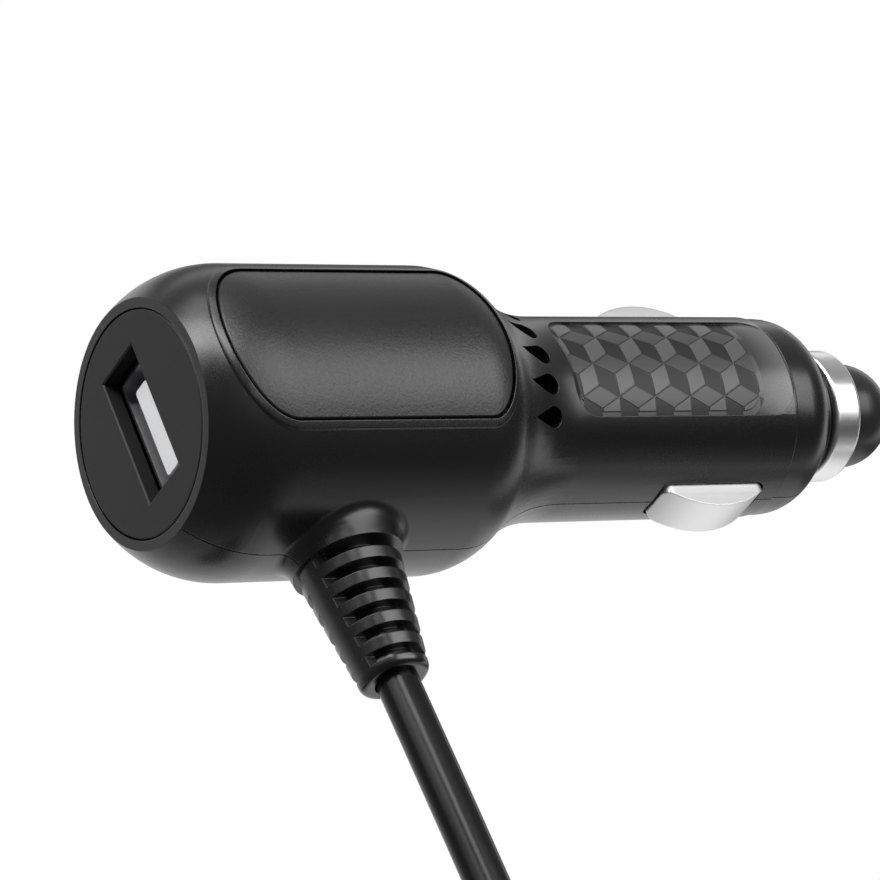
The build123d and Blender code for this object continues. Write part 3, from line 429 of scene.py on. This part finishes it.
# skins of the shells: merged copies, shaded by their large faces,
# with the edges of the blocks and of the seam kept
skin = {"merge": 0.002, "sharp": 32.0, "fine": 5.0, "seam": 0.2, "weight": 80,
        "blocksFrom": 44.3, "blocksTo": 69.0, "blocksDepth": (9.0, 10.3), "blocksHalf": 5.9}
for node in ("upper_shell", "lower_shell"):
    sheet = nodes[node].data.copy()
    sheet.attributes.remove(sheet.attributes["custom_normal"])
    merged = bmesh.new()
    merged.from_mesh(sheet)
    bmesh.ops.remove_doubles(merged, verts=merged.verts, dist=skin["merge"] * mm)
    for edge in merged.edges:
        middle = (edge.verts[0].co + edge.verts[1].co) / 2 / mm
        depth = math.hypot(middle.y, middle.z)
        onBlocks = skin["blocksFrom"] < middle.x - faceX < skin["blocksTo"]
        onBlocks = onBlocks and middle.z > 0.0 and abs(middle.y) < skin["blocksHalf"]
        onBlocks = onBlocks and skin["blocksDepth"][0] < depth < skin["blocksDepth"][1]
        fine = onBlocks or abs(middle.z) < skin["seam"]
        edge.smooth = edge.calc_face_angle(0.0) < math.radians(skin["fine"] if fine else skin["sharp"])
    for face in merged.faces:
        face.smooth = True
    merged.to_mesh(sheet)
    merged.free()
    blank = linked(node + "Base", sheet)
    lean = blank.modifiers.new("lean", "WEIGHTED_NORMAL")
    lean.mode = "FACE_AREA"
    lean.weight = skin["weight"]
    lean.keep_sharp = True
    made = plainMesh(blank)
    bpy.data.objects.remove(blank)
    piece = linked(node + "Skin", made)
    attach(piece, "housing")
    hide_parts(node)
    print("stage:", piece.name, "of", len(made.polygons), "faces")

# fixed lead: out of the guard, down, round the tied coil, down to the small connector
lead = {"x": -55.6575, "exitY": -27.0, "diameter": 4.2, "length": 1.2, "lean": 1.0,
        "wayDown": [(1.0, -52.0, 0.0), (1.0, -62.0, 0.0), (0.5, -81.0526, -11.0),
                    (0.0, -92.0526, -30.0526), (0.0, -92.0526, -52.0526)],  # share of the lean, y, z
        "drops": (0.0, 13.0, 26.0, 39.0), "order": 3, "smooth": 6, "round": 6}
# the turns lie in cells across and out of the coil, and cross to the next cell at a point of the turn
coil = {"y": -70.0526, "z": -62.0526, "radius": 22.0, "pitch": 4.35, "points": 24, "shift": 5,
        "cells": [(1, 0), (1, -1), (0, -1), (-1, -1), (-1, 0), (0, 0), (0, 1), (-1, 1)],
        "moveAt": [19, 16, 16, 13, 10, 7, 4],
        "pull": 0.9915}  # control points lie a little outside the turns
coilX = lead["x"] - coil["pitch"]
route = [(lead["x"], lead["exitY"], 0.0)]
route += [(lead["x"] + lead["lean"] * share, y, z) for share, y, z in lead["wayDown"]]
for turn, cell in enumerate(coil["cells"]):
    for i in range(coil["points"]):
        across, out = cell
        if turn < len(coil["moveAt"]):
            moved = min(max((i - coil["moveAt"][turn]) / coil["shift"], 0.0), 1.0)
            nextCell = coil["cells"][turn + 1]
            across += (nextCell[0] - across) * moved
            out += (nextCell[1] - out) * moved
        reach = (coil["radius"] + out * coil["pitch"]) / coil["pull"]
        angle = 2 * math.pi * i / coil["points"]
        y, z = coil["y"] - reach * math.cos(angle), coil["z"] - reach * math.sin(angle)
        route.append((coilX + across * coil["pitch"], y, z))
tailX = coilX - coil["pitch"]
tailY = coil["y"] - coil["radius"] - coil["pitch"]
route += [(tailX, tailY, coil["z"] - drop) for drop in lead["drops"]]

curve = bpy.data.curves.new("leadCord", "CURVE")
curve.dimensions = "3D"
spline = curve.splines.new("NURBS")
spline.points.add(len(route) - 1)
for point, place in zip(spline.points, route):
    point.co = (place[0] * mm, place[1] * mm, place[2] * mm, 1.0)
spline.order_u = lead["order"]
spline.use_endpoint_u = True
spline.resolution_u = lead["smooth"]
curve.bevel_depth = lead["diameter"] / 2 * mm
curve.bevel_resolution = lead["round"]
curve.use_fill_caps = True
curve.materials.append(looks["jacket"])
leadCord = linked("leadCord", curve)
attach(leadCord, "housing")
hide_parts("cord", "cord_coil", "cord_tail")
print("stage: cord of", len(route), "points")

# coiled springs: a wire round a spiral whose end turns lie close
springDetail = {"turnPoints": 32, "wireSides": 10}
springSockets = {"Turns": "Float", "Radius": "Float", "Wire": "Float", "Run": "Float",
                 "Closed Share": "Float", "Rotation": "Vector", "Place": "Vector", "Finish": "Material"}
springTree = bpy.data.node_groups.new("coilSpring", "GeometryNodeTree")
springTree.interface.new_socket("Geometry", in_out="OUTPUT", socket_type="NodeSocketGeometry")
springInputs = {}
for title, kind in springSockets.items():
    socket = springTree.interface.new_socket(title, in_out="INPUT", socket_type="NodeSocket" + kind)
    springInputs[title] = socket.identifier
springEntry = springTree.nodes.new("NodeGroupInput")
given = {title: Field(springTree, springEntry.outputs[title]) for title in springInputs}
share, wire, radius = given["Closed Share"], given["Wire"], given["Radius"]
spiral = radius.node("GeometryNodeCurveSpiral", {
    "Resolution": springDetail["turnPoints"], "Rotations": given["Turns"],
    "Start Radius": radius, "End Radius": radius, "Height": 0.0})
along = spiral.node("GeometryNodeSplineParameter")
rise = along.ramp(0.0, share, 0.0, wire) + along.ramp(1.0 - share, 1.0, 0.0, wire)
rise = rise + along.ramp(share, 1.0 - share, 0.0, given["Run"] - wire * 2.0)
lift = rise.node("ShaderNodeCombineXYZ", {2: rise})
spiral = spiral.node("GeometryNodeSetPosition", {"Geometry": spiral, "Offset": lift})
section = wire.node("GeometryNodeCurvePrimitiveCircle", {
    "Resolution": springDetail["wireSides"], "Radius": wire / 2.0})
coiled = spiral.node("GeometryNodeCurveToMesh", {
    "Curve": spiral, "Profile Curve": section, "Fill Caps": True})
coiled = coiled.node("GeometryNodeTransform", {
    "Geometry": coiled, "Translation": given["Place"], "Rotation": given["Rotation"]})
coiled = coiled.node("GeometryNodeRealizeInstances", {"Geometry": coiled})
coiled = coiled.node("GeometryNodeSetMaterial", {"Geometry": coiled, "Material": given["Finish"]})
springExit = springTree.nodes.new("NodeGroupOutput")
springTree.links.new(coiled.socket, springExit.inputs[0])

# each spring stands on its fixed end
springs = {
    "tip_spring": {"turns": 4.0, "radius": 2.45, "wire": 0.7, "axis": (1, 0, 0), "rotation": (0, 90, 0),
                   "joint": "tip_slide", "travel": 3.0},
    "contact_spring_right": {"turns": 5.0, "radius": 1.5, "wire": 0.4, "axis": (0, -1, 0),
                             "rotation": (90, 0, 0), "joint": "contact_right_slide", "travel": 1.5},
    "contact_spring_left": {"turns": 5.0, "radius": 1.5, "wire": 0.4, "axis": (0, 1, 0),
                            "rotation": (-90, 0, 0), "joint": "contact_left_slide", "travel": 1.5},
}
closedTurns = 0.8  # at each end
axisReach = 0.5 * mm  # a foot this near the plug axis stands on it
for node, size in springs.items():
    low, high = (Vector(c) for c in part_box(node))
    axis = Vector(size["axis"])
    span = abs((high - low).dot(axis))
    middle = (low + high) / 2
    foot = middle - axis * (span / 2)
    for i in range(3):
        if not size["axis"][i] and abs(foot[i]) < axisReach:
            foot[i] = 0.0
    settings = {"Turns": size["turns"], "Radius": size["radius"] * mm, "Wire": size["wire"] * mm,
                "Run": span - size["wire"] * mm, "Closed Share": closedTurns / size["turns"],
                "Rotation": [math.radians(a) for a in size["rotation"]],
                "Place": foot + axis * (size["wire"] / 2 * mm), "Finish": looks["spring"]}
    blank = linked(node + "Tree", bpy.data.meshes.new(node + "Tree"))
    coilNodes = blank.modifiers.new("coilSpring", "NODES")
    coilNodes.node_group = springTree
    for title, value in settings.items():
        coilNodes[springInputs[title]] = value
    made = plainMesh(blank)
    blank.modifiers.remove(coilNodes)
    bpy.data.objects.remove(blank)
    made.shade_smooth()
    piece = linked(node + "Wire", made)
    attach(piece, "housing")
    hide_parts(node)
    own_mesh(piece)
print("stage:", len(springs), "springs wound")

# camera, solved from the outlines of the plug
shot = {"right": (0.8142, -0.3476, 0.4656), "up": (0.0117, 0.8113, 0.5847),
        "fromFace": (-237.70, -222.49, 310.88), "lens": 193.25, "sensor": 36.0, "clip": (0.01, 20.0)}
right, up = Vector(shot["right"]), Vector(shot["up"])
back = right.cross(up).normalized()
up = back.cross(right).normalized()
camData = bpy.data.cameras.new("camera")
camData.lens = shot["lens"]
camData.sensor_width = shot["sensor"]
camData.clip_start, camData.clip_end = shot["clip"]
camera = linked("camera", camData)
axes = Matrix((right.normalized(), up, back)).transposed()
stand = Vector((faceX + shot["fromFace"][0], shot["fromFace"][1], shot["fromFace"][2])) * mm
camera.matrix_world = Matrix.Translation(stand) @ axes.to_4x4()
bpy.context.scene.camera = camera

# plain pale floor under the lowest piece
ground = {"half": 4.0, "white": 0.97, "shade": (0.78, 0.82), "rough": 0.9,
          "spots": 3.0, "spotSpan": (0.3, 0.7), "lean": (0.9, 0.4),
          "litFrom": -0.2, "litTo": -0.02, "dark": 0.1, "bandNear": (0.09, 0.17), "bandFar": (0.28, 0.4)}
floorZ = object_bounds()[0].z - mm
corners = [(x * ground["half"], y * ground["half"], floorZ) for x, y in ((-1, -1), (1, -1), (1, 1), (-1, 1))]
floorMesh = bpy.data.meshes.new("floor")
floorMesh.from_pydata(corners, [], [(0, 1, 2, 3)])
floor = linked("floor", floorMesh)


# rays that see the backdrop itself: the camera's, mirrors' and glass's
def seenBy(tree, *rays):
    path = tree.nodes.new("ShaderNodeLightPath")
    seen = Field(tree, path.outputs[rays[0]])
    for ray in rays[1:]:
        seen = seen.math("MAXIMUM", Field(tree, path.outputs[ray]))
    return seen


floorMat, floorBsdf, here = newMaterial("paleFloor", {"Roughness": ground["rough"]})
floorTree = floorMat.node_tree
darker, paler = [(v, v, v, 1) for v in ground["shade"]]
spots = here.noise(ground["spots"]).ramp(*ground["spotSpan"], 0.0, 1.0)
plug(floorBsdf, "Base Color", spots.mixColour(darker, paler))
# painted light and shade on the floor, seen only in mirrors: dark on the near side, lit below the plug and
# with a dark band beyond the barrel
acrossX, acrossY = here.split()[:2]
outward = acrossX * ground["lean"][0] + acrossY * ground["lean"][1]
paintedMirrorLight = outward.ramp(ground["litFrom"], ground["litTo"], ground["dark"], 1.0)
paintedDarkBand = outward.ramp(*ground["bandNear"], 0.0, 1.0) * outward.ramp(*ground["bandFar"], 1.0, 0.0)
paintedMirrorLight = paintedMirrorLight * (1.0 - paintedDarkBand * (1.0 - ground["dark"]))
mirror = seenBy(floorTree, "Is Glossy Ray")
seen = seenBy(floorTree, "Is Camera Ray", "Is Transmission Ray", "Is Glossy Ray") * ground["white"]
glow = floorTree.nodes.new("ShaderNodeEmission")
glow.inputs["Color"].default_value = (1, 1, 1, 1)
blend = floorTree.nodes.new("ShaderNodeMixShader")
floorTree.links.new((1.0 + mirror * (paintedMirrorLight - 1.0)).socket, glow.inputs["Strength"])
floorTree.links.new(seen.socket, blend.inputs[0])
floorTree.links.new(floorBsdf.outputs[0], blend.inputs[1])
floorTree.links.new(glow.outputs[0], blend.inputs[2])
floorTree.links.new(blend.outputs[0], floorTree.nodes["Material Output"].inputs[0])
floorMesh.materials.append(floorMat)

# white to the camera, a weak fill, and in mirrors a sweep that pales toward the far side
room = {"fill": 0.19, "sweep": (0.45, 0.85, -0.1), "sweepFrom": 0.45, "sweepTo": 1.75, "darkSide": 0.06}
world = bpy.data.worlds.new("studio")
bpy.context.scene.world = world
world.use_nodes = True
sky = world.node_tree.nodes["Background"]
sky.inputs["Color"].default_value = (1, 1, 1, 1)
toSky = Field(world.node_tree, world.node_tree.nodes.new("ShaderNodeTexCoord").outputs["Generated"])
behind = toSky.node("ShaderNodeVectorMath", {0: toSky, 1: room["sweep"]}, out=1, operation="DOT_PRODUCT")
mirrored = behind.ramp(room["sweepFrom"], room["sweepTo"], room["darkSide"], 1.0)
seen = seenBy(world.node_tree, "Is Camera Ray", "Is Transmission Ray")
glossy = seenBy(world.node_tree, "Is Glossy Ray")
strength = room["fill"] + glossy * (mirrored - room["fill"])
strength = strength + seen * (1.0 - strength)
world.node_tree.links.new(strength.socket, sky.inputs["Strength"])

# soft boxes, each by the direction that it stands in from the middle of the plug, in metres
softboxes = {
    "inlayBox": {"toward": (0.32, -0.05, 0.94), "size": (0.54, 0.86), "bright": 3.6},
    "frontBox": {"toward": (-0.46, 0.54, 0.71), "size": (0.28, 0.6), "bright": 6.8},
    "topBox": {"toward": (-0.26, 0.82, 0.5), "size": (0.34, 0.34), "bright": 2.2},
    "leftBox": {"toward": (-0.78, 0.5, 0.32), "size": (0.36, 0.66), "bright": 3.0},
    "lowCard": {"toward": (0.52, -0.85, 0.05), "size": (0.5, 0.3), "bright": 0.2},
}
plugMiddle = Vector((-0.03, 0.0, 0.0))
lampAway = 0.8
for name, box in softboxes.items():
    lampData = bpy.data.lights.new(name, "AREA")
    lampData.shape = "RECTANGLE"
    lampData.size, lampData.size_y = box["size"]
    lampData.energy = box["bright"] * math.pi * box["size"][0] * box["size"][1]
    lamp = linked(name, lampData)
    toward = Vector(box["toward"]).normalized()
    lamp.location = plugMiddle + toward * lampAway
    lamp.rotation_euler = toward.to_track_quat("Z", "Y").to_euler()
    lamp.visible_camera = False
bpy.context.scene.view_settings.view_transform = "Standard"
print("stage: camera, floor and light set")
